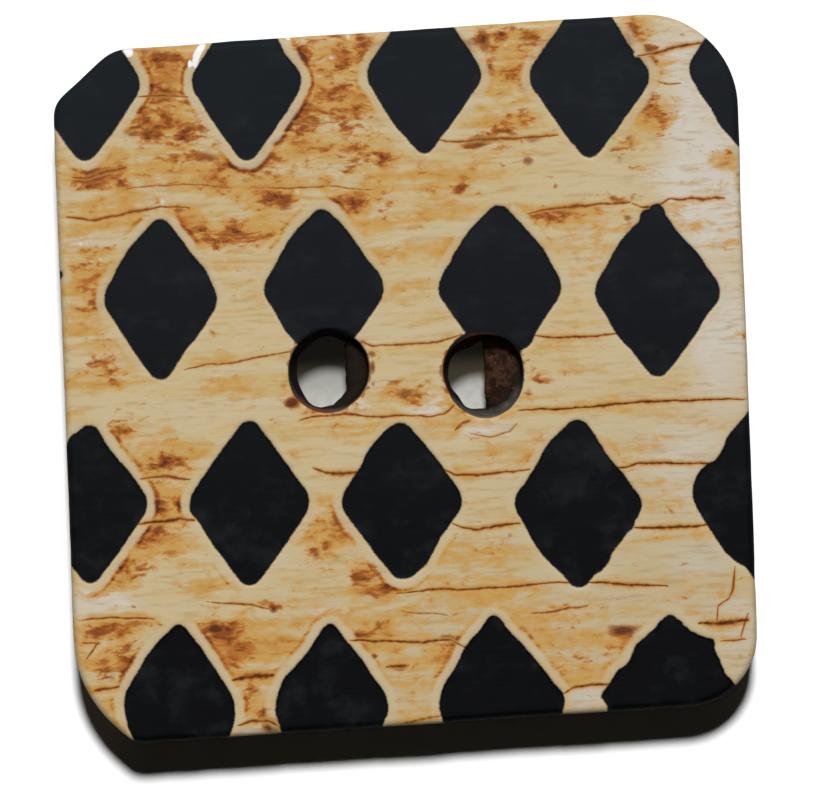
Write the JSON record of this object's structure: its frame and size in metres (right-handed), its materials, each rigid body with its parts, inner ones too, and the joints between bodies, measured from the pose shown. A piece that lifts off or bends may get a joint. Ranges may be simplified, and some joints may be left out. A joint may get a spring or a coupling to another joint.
{
  "type": "sew-through button",
  "caption": "Square sew-through button of polished bone with softened corners, round thread holes and staggered rows of black dyed diamonds on its face.",
  "frame": {"origin": "centre of the button's outline, on the plane of its back face", "axes": "+Z out of the patterned face, +Y towards its top side, +X to the right of the patterned face"},
  "size_m": [0.0282, 0.0288, 0.0033],
  "materials": {
    "bone": "polished bone, cream to amber, with near-black dyed diamonds"
  },
  "bodies": {
    "root": {"button": "bone"}
  },
  "joints": []
}
